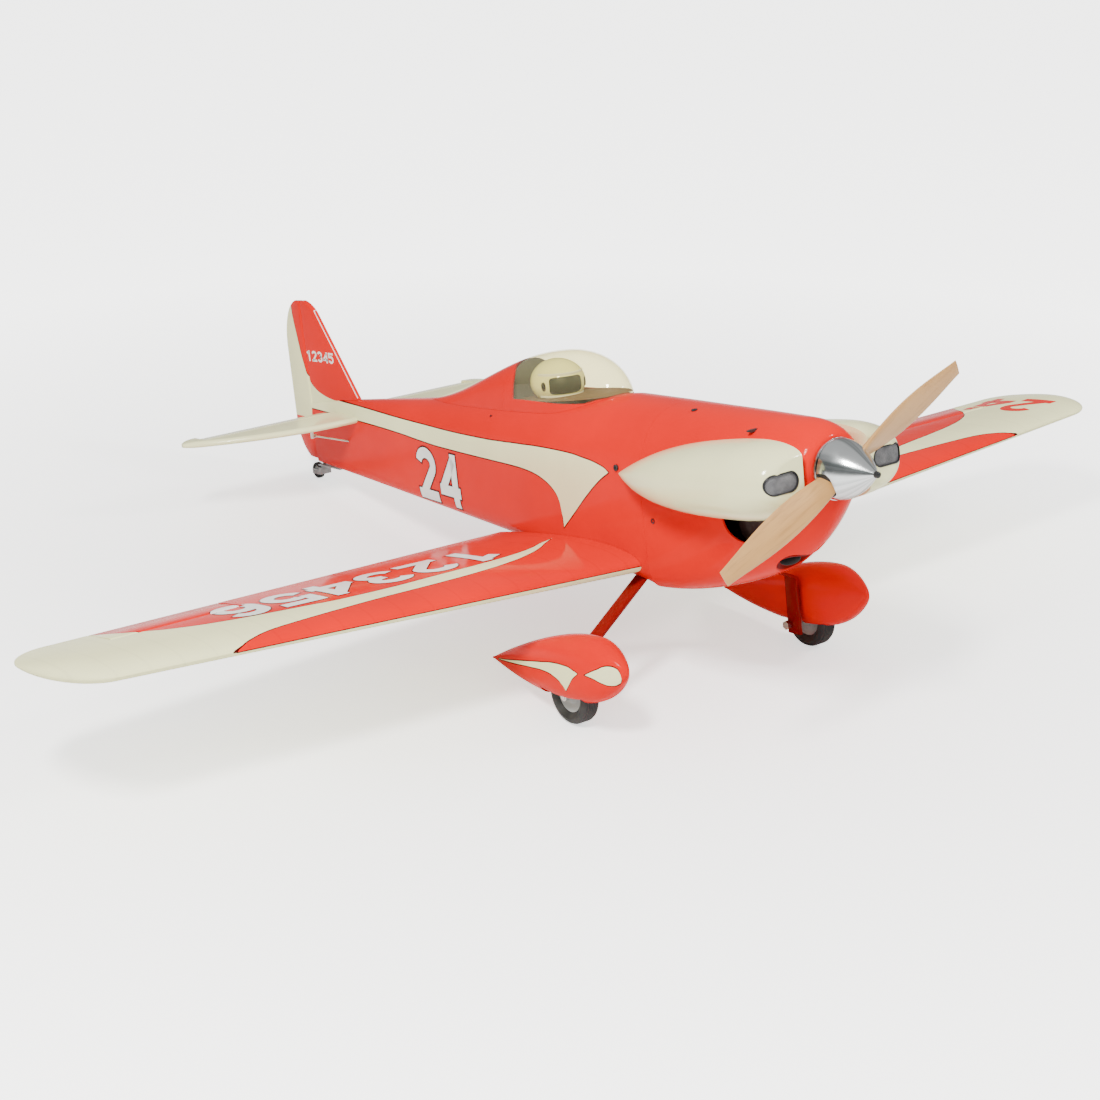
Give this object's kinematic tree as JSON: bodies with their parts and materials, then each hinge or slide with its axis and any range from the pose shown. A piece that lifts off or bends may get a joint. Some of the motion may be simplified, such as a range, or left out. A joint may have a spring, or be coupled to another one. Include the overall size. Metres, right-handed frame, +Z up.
{
  "type": "radio-controlled racing aeroplane",
  "caption": "Large radio-controlled low-wing racing aeroplane with propeller and spinner, bubble canopy, hinged control surfaces, faired main wheels and a steerable tail wheel.",
  "frame": {"origin": "centre of the bounding box on the ground that the three tyres stand on", "axes": "+Z up, -Y towards the nose, +Y towards the tail, +X towards the aircraft's own left wing tip; the aircraft stands nose-up at 9.8 degrees"},
  "size_m": [2.032, 1.6286, 0.5544],
  "materials": {
    "painted_red": "glossy warm red iron-on film over sheeted balsa and paint over moulded glass fibre",
    "painted_cream": "glossy ivory film and paint",
    "canopy_clear": "clear blown plastic, slightly yellowed with age",
    "polished_aluminium": "turned and polished aluminium",
    "plain_aluminium": "plain satin aluminium",
    "bright_steel": "bright steel",
    "propeller_wood": "light beech laminate under satin varnish",
    "plywood": "bare birch plywood",
    "tyre_rubber": "matt black ribbed rubber",
    "wheel_grey": "grey moulded nylon",
    "black_plastic": "black moulded plastic",
    "dark_metal": "dark woven wire and blackened metal",
    "dark_grey_plastic": "dark grey matt lining",
    "white_plastic": "white moulded plastic and fabric"
  },
  "bodies": {
    "airframe": {"fuselage_shell": "painted_red", "cowl": "painted_red", "turtledeck": "painted_red", "wing_left": "painted_red", "wing_right": "painted_red", "fin": "painted_red", "gear_leg_left": "painted_red", "gear_leg_right": "painted_red", "wheel_pant_left": "painted_red", "wheel_pant_right": "painted_red", "cheek_fairing_left": "painted_cream", "cheek_fairing_right": "painted_cream", "stabilizer": "painted_cream", "pilot_helmet": "painted_cream", "canopy": "canopy_clear", "wing_tube": "plain_aluminium", "tail_wheel_bracket": "plain_aluminium", "engine_crankcase": "plain_aluminium", "axle_left": "bright_steel", "axle_right": "bright_steel", "firewall_box": "plywood", "helmet_visor": "black_plastic", "instrument_panel": "black_plastic", "aileron_servo_left": "black_plastic", "aileron_servo_right": "black_plastic", "elevator_servo": "black_plastic", "rudder_servo": "black_plastic", "battery_pack": "black_plastic", "cheek_grille_left": "dark_metal", "cheek_grille_right": "dark_metal", "engine_cylinder": "dark_metal", "muffler": "dark_metal", "cockpit_tub": "dark_grey_plastic", "receiver": "dark_grey_plastic", "pilot_bust": "white_plastic", "fuel_tank": "white_plastic"},
    "propeller_group": {"propeller": "propeller_wood", "spinner": "polished_aluminium", "spinner_backplate": "polished_aluminium", "spinner_nut": "black_plastic", "crankshaft": "bright_steel"},
    "aileron_left_group": {"aileron_left": "painted_cream", "aileron_horn_left": "white_plastic"},
    "aileron_right_group": {"aileron_right": "painted_cream", "aileron_horn_right": "white_plastic"},
    "aileron_rod_left": {"aileron_pushrod_left": "bright_steel"},
    "aileron_rod_right": {"aileron_pushrod_right": "bright_steel"},
    "elevator_group": {"elevator": "painted_cream", "elevator_horn": "white_plastic"},
    "elevator_rod": {"elevator_pushrod": "bright_steel"},
    "rudder_group": {"rudder": "painted_cream", "rudder_horn": "white_plastic"},
    "rudder_rod": {"rudder_pushrod": "bright_steel"},
    "tail_fork_group": {"tail_wheel_fork": "plain_aluminium"},
    "tail_wheel_group": {"tail_wheel_hub": "wheel_grey", "tail_wheel_tyre": "tyre_rubber"},
    "wheel_left_group": {"wheel_hub_left": "wheel_grey", "main_tyre_left": "tyre_rubber"},
    "wheel_right_group": {"wheel_hub_right": "wheel_grey", "main_tyre_right": "tyre_rubber"}
  },
  "joints": [
    {"name": "prop_spin", "type": "hinge", "parent": "airframe", "child": "propeller_group", "pos_m": [0, -0.74894, 0.44084], "axis": [0, 0.9854, -0.1703], "continuous": true},
    {"name": "aileron_left_hinge", "type": "hinge", "parent": "airframe", "child": "aileron_left_group", "pos_m": [0.765, -0.19158, 0.20107], "axis": [0.9915, -0.1127, 0.0643], "range_deg": [-20, 20]},
    {"name": "aileron_right_hinge", "type": "hinge", "parent": "airframe", "child": "aileron_right_group", "pos_m": [-0.765, -0.19158, 0.20107], "axis": [0.9915, 0.1127, -0.0643], "range_deg": [-20, 20]},
    {"name": "aileron_rod_left_slide", "type": "slide", "parent": "airframe", "child": "aileron_rod_left", "axis": [0, 0.9854, -0.1703], "range_m": [-0.0085, 0.0085]},
    {"name": "aileron_rod_right_slide", "type": "slide", "parent": "airframe", "child": "aileron_rod_right", "axis": [0, 0.9854, -0.1703], "range_m": [-0.0085, 0.0085]},
    {"name": "elevator_hinge", "type": "hinge", "parent": "airframe", "child": "elevator_group", "pos_m": [0, 0.60835, 0.16165], "axis": [1, 0, 0], "range_deg": [-20, 20]},
    {"name": "elevator_rod_slide", "type": "slide", "parent": "airframe", "child": "elevator_rod", "axis": [0, 0.9854, -0.1703], "range_m": [-0.012, 0.012]},
    {"name": "rudder_hinge", "type": "hinge", "parent": "airframe", "child": "rudder_group", "pos_m": [0, 0.73212, 0.18491], "axis": [0, 0.1703, 0.9854], "range_deg": [-25, 25]},
    {"name": "rudder_rod_slide", "type": "slide", "parent": "airframe", "child": "rudder_rod", "axis": [0, 0.9854, -0.1703], "range_m": [-0.012, 0.012]},
    {"name": "tail_wheel_steer", "type": "hinge", "parent": "airframe", "child": "tail_fork_group", "pos_m": [0, 0.69009, 0.0298], "axis": [0, 0.1703, 0.9854], "range_deg": [-26, 26]},
    {"name": "tail_wheel_spin", "type": "hinge", "parent": "tail_fork_group", "child": "tail_wheel_group", "pos_m": [0, 0.71302, 0.01569], "axis": [1, 0, 0], "continuous": true},
    {"name": "wheel_left_spin", "type": "hinge", "parent": "airframe", "child": "wheel_left_group", "pos_m": [0.24, -0.44378, 0.04561], "axis": [1, 0, 0], "continuous": true},
    {"name": "wheel_right_spin", "type": "hinge", "parent": "airframe", "child": "wheel_right_group", "pos_m": [-0.24, -0.44378, 0.04561], "axis": [1, 0, 0], "continuous": true}
  ],
  "couplings": [
    {"joint": "aileron_right_hinge", "follows": "aileron_left_hinge", "ratio": -1},
    {"joint": "aileron_rod_left_slide", "follows": "aileron_left_hinge", "m_per_rad": 0.022},
    {"joint": "aileron_rod_right_slide", "follows": "aileron_left_hinge", "m_per_rad": -0.022},
    {"joint": "elevator_rod_slide", "follows": "elevator_hinge", "m_per_rad": 0.032},
    {"joint": "rudder_rod_slide", "follows": "rudder_hinge", "m_per_rad": 0.026},
    {"joint": "tail_wheel_steer", "follows": "rudder_hinge", "ratio": 1}
  ]
}
